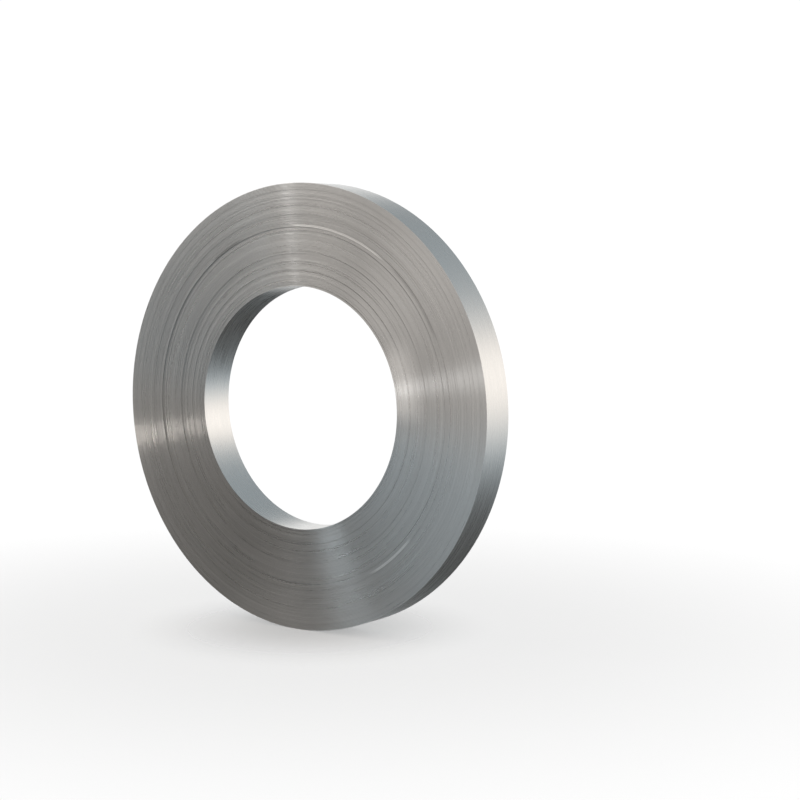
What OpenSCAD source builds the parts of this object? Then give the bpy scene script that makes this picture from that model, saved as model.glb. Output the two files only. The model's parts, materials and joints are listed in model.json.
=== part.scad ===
// A coil of narrow metal strip, slit to width, wound turn on turn and standing on its rim.
// The coil's axis lies along Y with the front end towards -Y, and the rim rests on Z = 0.

/* [Strip] */
// Width of the strip, from one slit edge to the other
strip_w = 80; // [40:1:160]
// Thickness of the strip
strip_t = 2.5; // [1.5:0.1:4]
// Width of the corner that the slitting knife draws down, on the outer face of the wound strip
rollover = 0.6; // [0.2:0.05:0.9]
// Depth of that drawn-down corner
rollover_drop = 0.35; // [0.1:0.05:0.6]
// Corner taken off with the burr, on the inner face of the wound strip
burr_break = 0.15; // [0.05:0.05:0.4]

/* [Coil] */
// Diameter of the bore that the recoiler's mandrel leaves
bore_d = 508; // [400:1:620]
// Number of turns wound on
turns = 85; // [60:1:110]

/* [Winding] */
// Farthest that a turn lies out of line with the middle, towards either end
stray = 0.6; // [0:0.1:1.5]
// Number of turns over which the strip drifts from side to side and back
drift_turns = 31; // [10:1:60]
// Seed of the small unevenness from one turn to the next
winding_seed = 11; // [1:1:99]

/* [Hidden] */

bore_r = bore_d / 2;
outer_r = bore_r + turns * strip_t;
front = 1;
back = -1;

// Turns that slipped out of line, counted from the bore: the first one, the last one, and how
// far they lie towards the front end, as a share of the farthest stray
slipped = [[0, 1, 1], [13, 13, -0.7], [27, 28, 0.8], [46, 48, -1], [49, 50, 0.9], [58, 58, -0.8]];

// Share of the stray that the slow drift and the turn-to-turn unevenness reach at most
drift_share = 0.4;
uneven_share = 0.3;
unevenness = rands(-uneven_share, uneven_share, turns, winding_seed);

function slip(i) = [for (s = slipped) if (i >= s[0] && i <= s[1]) s[2]];
function wound(i) = drift_share * sin(360 * i / drift_turns) + unevenness[i];

// How far turn i lies towards the front end
function lie(i) = stray * (len(slip(i)) > 0 ? slip(i)[0] : wound(i));

// Radius at the inside of turn i, and height of its edge at one end
function turn_r(i) = bore_r + i * strip_t;
function edge_z(i, end) = end * strip_w / 2 + lie(i);

// Height of the notch between turns i and j, a drawn-down corner below the lower edge of the two
function notch_z(i, j, end) =
    end * (min(end * edge_z(i, end), end * edge_z(j, end)) - rollover_drop);

// One end of the section, from the bore out to the rim: each turn is a flat slit edge between
// a small broken corner and a wide drawn-down one
function end_points(end) = concat(
    [[bore_r, end * (end * edge_z(0, end) - burr_break)]],
    [for (i = [0 : turns - 1]) each [
        [turn_r(i) + burr_break, edge_z(i, end)],
        [turn_r(i + 1) - rollover, edge_z(i, end)],
        [turn_r(i + 1), notch_z(i, min(i + 1, turns - 1), end)]
    ]]);

function reversed(list) = [for (i = [len(list) - 1 : -1 : 0]) list[i]];

module strip_coil() {
    color([0.62, 0.61, 0.59])
        translate([0, 0, outer_r])
            rotate([90, 0, 0])
                rotate_extrude($fn = 180)
                    polygon(concat(end_points(front), reversed(end_points(back))));
}

strip_coil();
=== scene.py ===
import bpy
import bmesh
import json
from math import asin, atan2, copysign, cos, pi, radians, sin
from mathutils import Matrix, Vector


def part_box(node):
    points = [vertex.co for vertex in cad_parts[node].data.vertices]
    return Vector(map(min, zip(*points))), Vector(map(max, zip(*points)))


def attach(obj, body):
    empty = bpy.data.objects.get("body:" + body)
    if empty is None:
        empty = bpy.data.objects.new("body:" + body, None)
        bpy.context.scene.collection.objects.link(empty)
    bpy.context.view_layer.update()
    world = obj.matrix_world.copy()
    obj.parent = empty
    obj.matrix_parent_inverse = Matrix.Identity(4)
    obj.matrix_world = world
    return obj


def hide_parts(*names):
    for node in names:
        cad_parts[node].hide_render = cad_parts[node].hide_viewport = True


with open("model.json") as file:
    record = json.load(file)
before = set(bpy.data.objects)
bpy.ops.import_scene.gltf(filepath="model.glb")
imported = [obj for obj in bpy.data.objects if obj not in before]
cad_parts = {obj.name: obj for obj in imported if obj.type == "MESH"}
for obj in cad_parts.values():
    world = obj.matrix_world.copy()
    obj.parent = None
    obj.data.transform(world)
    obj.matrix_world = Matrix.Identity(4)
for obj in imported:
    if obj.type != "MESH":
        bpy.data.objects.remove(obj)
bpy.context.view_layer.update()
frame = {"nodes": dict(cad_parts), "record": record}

# The wound strip: one length of nickel alloy strip, slit to width and wound turn on turn round
# a mandrel that has been drawn out. Its two ends are the slit edges of all its turns, and its
# rim and its bore are the smooth rolled face of the outermost and of the innermost turn.
low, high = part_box("strip_coil")
coil_centre = (low + high) / 2
rim_r = (high.z - low.z) / 2
mounts = {mount["name"]: mount for mount in frame["record"]["mounts"]}
bore_r = mounts["bore"]["dims"]["r_mm"] / 1000
wound_turns = 85
strip_thickness = (rim_r - bore_r) / wound_turns
turned_steps = 180
same_point = 1e-6

# Half of the coil's section is cut out of the solid, level with the axis.
coil = bmesh.new()
coil.from_mesh(frame["nodes"]["strip_coil"].data)
bmesh.ops.remove_doubles(coil, verts=coil.verts, dist=same_point)
level_cut = bmesh.ops.bisect_plane(
    coil,
    geom=coil.verts[:] + coil.edges[:] + coil.faces[:],
    dist=same_point,
    plane_co=coil_centre,
    plane_no=(0, 0, 1),
)
section = {
    edge
    for edge in level_cut["geom_cut"]
    if isinstance(edge, bmesh.types.BMEdge) and all(v.co.x > 0 for v in edge.verts)
}
not_section = [edge for edge in coil.edges if edge not in section]
bmesh.ops.delete(coil, geom=not_section, context="EDGES")
loose_points = [v for v in coil.verts if not v.link_edges]
bmesh.ops.delete(coil, geom=loose_points, context="VERTS")

# The knives leave each slit edge leaning back towards its rounded outer corner, and nick the
# joint between two turns a little deeper.
slit_lean = 0.00028
joint_nick = 0.00015
rounded_corner_from = 0.5
broken_corner_from = 0.03
for v in coil.verts:
    through_strip = (v.co.x - bore_r) / strip_thickness
    off_joint = through_strip - round(through_strip)
    if abs(off_joint) < broken_corner_from:
        v.co.y -= copysign(joint_nick, v.co.y - coil_centre.y)
    elif through_strip % 1 > rounded_corner_from:
        v.co.y -= copysign(slit_lean, v.co.y - coil_centre.y)

bmesh.ops.spin(
    coil,
    geom=coil.verts[:] + coil.edges[:],
    cent=coil_centre,
    axis=(0, 1, 0),
    angle=2 * pi,
    steps=turned_steps,
    use_merge=True,
)
bmesh.ops.recalc_face_normals(coil, faces=coil.faces)
sharpest_smooth = radians(20)
rolled_side = 0.1
for edge in coil.edges:
    edge.smooth = edge.calc_face_angle(0) < sharpest_smooth
for face in coil.faces:
    face.smooth = True
    face.material_index = int(abs(face.normal.y) < rolled_side)
wound_mesh = bpy.data.meshes.new("wound_strip")
coil.to_mesh(wound_mesh)
coil.free()
wound_strip = bpy.data.objects.new("wound_strip", wound_mesh)
bpy.context.scene.collection.objects.link(wound_strip)


def bare_metal(name, brushed):
    material = bpy.data.materials.new(name)
    material.use_nodes = True
    shader = material.node_tree.nodes["Principled BSDF"]
    shader.inputs["Metallic"].default_value = 1
    shader.inputs["Anisotropic"].default_value = brushed
    wound_mesh.materials.append(material)
    return material.node_tree, shader


def node(tree, kind, *inputs, **settings):
    made = tree.nodes.new("ShaderNode" + kind)
    for name, value in settings.items():
        setattr(made, name, value)
    for socket, value in zip([s for s in made.inputs if s.enabled], inputs):
        if isinstance(value, bpy.types.NodeSocket):
            tree.links.new(value, socket)
        else:
            socket.default_value = value
    return next(s for s in made.outputs if s.enabled)


def reckon(tree, operation, *values):
    return node(tree, "Math", *values, operation=operation)


def total(tree, first, *others):
    for other in others:
        first = reckon(tree, "ADD", first, other)
    return first


def vectors(tree, operation, *values):
    return node(tree, "VectorMath", *values, operation=operation)


def ease(tree, value, start, end, at_start, at_end):
    limits = (start, end, at_start, at_end)
    return node(tree, "MapRange", value, *limits, interpolation_type="SMOOTHSTEP")


def between(tree, value, start, full, fading, end):
    rising = ease(tree, value, start, full, 0, 1)
    falling = ease(tree, value, fading, end, 1, 0)
    return reckon(tree, "MULTIPLY", rising, falling)


def round_the_axis(tree):
    place = tree.nodes.new("ShaderNodeTexCoord").outputs["Object"]
    centred = vectors(tree, "SUBTRACT", place, coil_centre)
    from_axis = vectors(tree, "MULTIPLY", centred, (1, 0, 1))
    across = vectors(tree, "DOT_PRODUCT", centred, (0, 1, 0))
    return vectors(tree, "NORMALIZE", from_axis), vectors(tree, "LENGTH", from_axis), across


def drawn_along(tree, outward, across, to_a_radian, to_a_metre, detail, grain):
    # Marks drawn out along the strip: few to a radian round the axis, many to a metre across
    around = vectors(tree, "MULTIPLY", outward, (to_a_radian, to_a_radian, to_a_radian))
    crosswise = node(tree, "CombineXYZ", 0, reckon(tree, "MULTIPLY", across, to_a_metre), 0)
    return node(tree, "TexNoise", vectors(tree, "ADD", around, crosswise), 1, detail, grain)


# Slit edges: each turn a little lighter or darker and rougher than the next, with streaks and
# bands from the knives, and dark joints between. Light spreads across the turns, in spokes.
least_rough = 0.225
turn_rough = 0.03
streak_rough = 0.04
band_rough = 0.06
least_light = 0.78
turn_light = 0.09
streak_light = 0.16
band_light = 0.16
slit_colour = (0.64, 0.631, 0.617)
tree, shader = bare_metal("slit_edges", brushed=1)
outward, radius, _ = round_the_axis(tree)
tree.links.new(outward, shader.inputs["Tangent"])
turn = reckon(tree, "DIVIDE", reckon(tree, "SUBTRACT", radius, bore_r), strip_thickness)
each_turn = node(tree, "TexWhiteNoise", reckon(tree, "FLOOR", turn), noise_dimensions="1D")
streaks = drawn_along(tree, outward, radius, to_a_radian=5, to_a_metre=400, detail=4, grain=0.6)
bands = drawn_along(tree, outward, radius, to_a_radian=1.5, to_a_metre=150, detail=2, grain=0.5)
roughness = total(
    tree,
    reckon(tree, "MULTIPLY", each_turn, turn_rough),
    reckon(tree, "MULTIPLY", streaks, streak_rough),
    reckon(tree, "MULTIPLY", bands, band_rough),
    least_rough,
)
tree.links.new(roughness, shader.inputs["Roughness"])
lightness = total(
    tree,
    reckon(tree, "MULTIPLY", each_turn, turn_light),
    reckon(tree, "MULTIPLY", streaks, streak_light),
    reckon(tree, "MULTIPLY", bands, band_light),
    least_light,
)

# Two turns stand proud a little way out from the middle of the wall, and they are painted lighter
# along some arcs and darker along others: painted highlights where their sides would catch the
# light and painted shade where they would not. Each arc is given by the degrees clockwise from
# the top at which it starts and ends, and by how much lighter it is.
sideways = vectors(tree, "DOT_PRODUCT", outward, (1, 0, 0))
upwards = vectors(tree, "DOT_PRODUCT", outward, (0, 0, 1))
clockwise = reckon(tree, "ARCTAN2", sideways, upwards)
proud_from = 49
proud_to = 51
blurred = 0.2
proud_turns = between(
    tree,
    turn,
    proud_from - blurred,
    proud_from + blurred,
    proud_to - blurred,
    proud_to + blurred,
)
painted_arc_light = ((-3, 37, 0.5), (38, 68, -0.22), (130, 152, 0.45), (-38, -20, -0.3))
fading_in = 4
fading_out = 6
for start, end, lighter in painted_arc_light:
    arc = (radians(start), radians(start + fading_in), radians(end - fading_out), radians(end))
    painted_arc = reckon(tree, "MULTIPLY", between(tree, clockwise, *arc), proud_turns)
    lightness = total(tree, lightness, reckon(tree, "MULTIPLY", painted_arc, lighter))

# On one side, near the mouth of the bore, the end is painted lighter: a painted highlight.
highlight_full_to = 6
highlight_to = 34
bore_mouth = ease(tree, turn, highlight_full_to, highlight_to, 1, 0)
highlight_side = between(tree, clockwise, radians(56), radians(70), radians(86), radians(96))
painted_highlight = reckon(tree, "MULTIPLY", bore_mouth, highlight_side)
painted_highlight_lighter = 0.5
lightest = 1.5
lightness = total(tree, lightness, reckon(tree, "MULTIPLY", painted_highlight, painted_highlight_lighter))
lightness = reckon(tree, "MINIMUM", lightness, lightest)

# The joints are dark for a small share of a turn on either side.
mid_turn = 0.5
from_joint = reckon(tree, "PINGPONG", turn, mid_turn)
darkest_to = 0.03
dark_to = 0.12
joint_light = 0.5
joint_shade = ease(tree, from_joint, darkest_to, dark_to, joint_light, 1)
lightness = reckon(tree, "MULTIPLY", lightness, joint_shade)
tree.links.new(vectors(tree, "MULTIPLY", slit_colour, lightness), shader.inputs["Base Color"])

# Rolled face: fine scratches along the strip from the coiler's rolls. Where a turn stands proud
# of the next, only a sliver of its rolled face shows on the end, in the joint, and there its
# colour is darkened as painted shade.
smoothest = 0.2
roughest = 0.4
face_depth = 0.0005
joint_depth = 0.0015
joint_shade_lightness = 0.4
rolled_colour = (0.7, 0.69, 0.67)
tree, shader = bare_metal("rolled_face", brushed=0.5)
outward, radius, across = round_the_axis(tree)
tree.links.new(node(tree, "CombineXYZ", 0, 1, 0), shader.inputs["Tangent"])
scratches = drawn_along(tree, outward, across, to_a_radian=4, to_a_metre=700, detail=5, grain=0.6)
scratched = node(tree, "MapRange", scratches, 0.3, 0.7, smoothest, roughest)
tree.links.new(scratched, shader.inputs["Roughness"])
from_bore = reckon(tree, "SUBTRACT", radius, bore_r)
from_rim = reckon(tree, "SUBTRACT", rim_r, radius)
into_end = reckon(tree, "MINIMUM", from_bore, from_rim)
painted_joint_shade = node(tree, "MapRange", into_end, face_depth, joint_depth, 1, joint_shade_lightness)
rolled_shade = vectors(tree, "MULTIPLY", rolled_colour, painted_joint_shade)
tree.links.new(rolled_shade, shader.inputs["Base Color"])

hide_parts("strip_coil")
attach(wound_strip, "root")

# The floor: a round pale sheet, thin enough to let the studio's own light through, which
# takes the coil's shadow and fades out before its edge. It is thickest under the coil, where
# the greyer sheet stands as a painted shade round the coil's foot.
floor_r = 1.8
under_coil = 0.65
under_coil_to = 0.03
round_coil = 0.26
round_coil_from = 0.4
fades_from = 0.3
sheet = bmesh.new()
bmesh.ops.create_circle(sheet, cap_ends=True, segments=96, radius=floor_r)
floor_mesh = bpy.data.meshes.new("floor")
sheet.to_mesh(floor_mesh)
sheet.free()
floor = bpy.data.objects.new("floor", floor_mesh)
bpy.context.scene.collection.objects.link(floor)
pale_sheet = bpy.data.materials.new("pale_sheet")
pale_sheet.use_nodes = True
tree = pale_sheet.node_tree
shader = tree.nodes["Principled BSDF"]
shader.inputs["Base Color"].default_value = (0.5, 0.5, 0.5, 1)
shader.inputs["Roughness"].default_value = 0.9
from_coil = vectors(tree, "LENGTH", tree.nodes.new("ShaderNodeTexCoord").outputs["Object"])
thickness_with_painted_shade = ease(tree, from_coil, under_coil_to, round_coil_from, under_coil, round_coil)
towards_edge = ease(tree, from_coil, fades_from, floor_r, 1, 0)
tree.links.new(reckon(tree, "MULTIPLY", thickness_with_painted_shade, towards_edge), shader.inputs["Alpha"])
floor_mesh.materials.append(pale_sheet)

# The studio: a room that is lighter to the right and in front, with soft windows and a pale
# screen round it, all far off. The bare metal mirrors it, and takes its shades from it.
studio = bpy.data.worlds.new("studio")
studio.use_nodes = True
tree = studio.node_tree
direction = tree.nodes.new("ShaderNodeTexCoord").outputs["Generated"]
rightward = vectors(tree, "DOT_PRODUCT", direction, (1, 0, 0))
backward = vectors(tree, "DOT_PRODUCT", direction, (0, 1, 0))
upward = vectors(tree, "DOT_PRODUCT", direction, (0, 0, 1))


def soft_window(towards, edge, strength, full=1):
    # Edge and full are the cosines at which the window begins and at which it is full
    facing = vectors(tree, "DOT_PRODUCT", direction, Vector(towards).normalized())
    return ease(tree, facing, edge, full, 0, strength)


lighter_towards = (0.72, -0.52, -0.12)
even_light = 0.04
dim_corner_light = 0.06
blend = 0.3
room_light = vectors(tree, "DOT_PRODUCT", direction, lighter_towards)
room_light = total(tree, room_light, even_light)
dim_corner = ease(tree, backward, -0.1, 0.3, dim_corner_light, 0)
room_light = reckon(tree, "SMOOTH_MAX", room_light, dim_corner, blend)
room_light = total(
    tree,
    room_light,
    soft_window(towards=(-0.84, 0.06, 0.54), edge=0.48, strength=1.25),
    soft_window(towards=(-0.27, -0.75, 0.56), edge=0.78, strength=0.64),
    soft_window(towards=(-0.9, -0.38, -0.18), edge=0.955, strength=0.16),
    soft_window(towards=(-0.485, -0.71, -0.515), edge=0.996, strength=3.4),
    soft_window(towards=(-0.36, -0.78, -0.5), edge=0.93, strength=0.15),
    soft_window(towards=(-0.2, 0.15, -0.97), edge=0.86, strength=0.9, full=0.95),
)

# High at the back the room is an even cool grey.
high_back = reckon(
    tree,
    "MULTIPLY",
    ease(tree, backward, 0.1, 0.5, 0, 1),
    ease(tree, upward, 0.25, 0.6, 0, 1),
)
high_back_grey = 0.42
room_light = node(tree, "Mix", high_back, room_light, high_back_grey, data_type="FLOAT")

# The bearing is 0 straight behind the coil and 1 a quarter turn to the right.
bearing = reckon(tree, "DIVIDE", reckon(tree, "ARCTAN2", rightward, backward), pi / 2)
lit_wall = reckon(
    tree,
    "MULTIPLY",
    between(tree, bearing, -0.22, 0.06, 0.7, 1.1),
    between(tree, upward, -0.55, 0.15, 0.17, 0.6),
)
lit_wall_strength = 1.3
room_light = total(tree, room_light, reckon(tree, "MULTIPLY", lit_wall, lit_wall_strength))
white_screen = reckon(
    tree,
    "MULTIPLY",
    between(tree, bearing, -0.9, -0.62, -0.22, 0),
    between(tree, upward, -0.4, -0.3, 0.29, 0.45),
)
screen_light = ease(tree, upward, 0.14, 0.24, 1.03, 1.4)
strength = node(tree, "Mix", white_screen, room_light, screen_light, data_type="FLOAT")
tree.links.new(strength, tree.nodes["Background"].inputs["Strength"])

# The room's light is warm, but cool low down and high at the back, and the screen is white.
low_down = reckon(
    tree,
    "MULTIPLY",
    ease(tree, upward, -0.4, 0, 1, 0),
    ease(tree, rightward, -0.85, -0.45, 0, 1),
)
far_left = ease(tree, rightward, -0.9, -0.5, 0.15, 0)
coolness = reckon(tree, "MAXIMUM", reckon(tree, "MAXIMUM", low_down, high_back), far_left)
warm = (1.04, 1, 0.96, 1)
cool = (0.86, 1, 1.09, 1)
white = (1, 1, 1, 1)
room_colour = node(tree, "Mix", coolness, warm, cool, data_type="RGBA")
colour = node(tree, "Mix", white_screen, room_colour, white, data_type="RGBA")
tree.links.new(colour, tree.nodes["Background"].inputs["Color"])
bpy.context.scene.world = studio


# Three small lamps, all aimed at the coil, each of which stands as one spoke or one pair of
# spokes on its brushed end.
def lamp(name, place, size, watts, colour):
    light = bpy.data.lights.new(name, "AREA")
    light.size = size
    light.energy = watts
    light.color = colour
    lit = bpy.data.objects.new(name, light)
    lit.location = place
    lit.rotation_euler = (coil_centre - Vector(place)).to_track_quat("-Z", "Y").to_euler()
    bpy.context.scene.collection.objects.link(lit)


lamp("front_lamp", place=(0.42, -3, 0.63), size=0.2, watts=1, colour=(1, 1, 1))
lamp("high_lamp", place=(-2.15, -1.32, 3), size=0.07, watts=2, colour=(1, 1, 1))
lamp("low_left_lamp", place=(-2.2, -0.5, 0.1), size=0.12, watts=0.92, colour=(1, 0.93, 0.86))

# The camera: in front of the coil and well to its right, just above the height of its axis.
# It looks a little to the right of the coil, which so stands left of the middle of its view.
distance = 8.14 * rim_r
azimuth = radians(38.29)
elevation = radians(5.15)
turned_right = radians(3.25)
tipped_up = radians(0.25)
front_centre = Vector((coil_centre.x, low.y, coil_centre.z))
to_camera = Vector((
    sin(azimuth) * cos(elevation),
    -cos(azimuth) * cos(elevation),
    sin(elevation),
))
camera_data = bpy.data.cameras.new("camera")
camera_data.lens = 82
camera_data.sensor_width = 36
camera = bpy.data.objects.new("camera", camera_data)
camera.location = front_centre + to_camera * distance
heading = atan2(-to_camera.x, -to_camera.y) + turned_right
pitch = asin(-to_camera.z) + tipped_up
camera.rotation_euler = (pi / 2 + pitch, 0, -heading)
bpy.context.scene.collection.objects.link(camera)
bpy.context.scene.camera = camera
bpy.context.scene.view_settings.view_transform = "Standard"
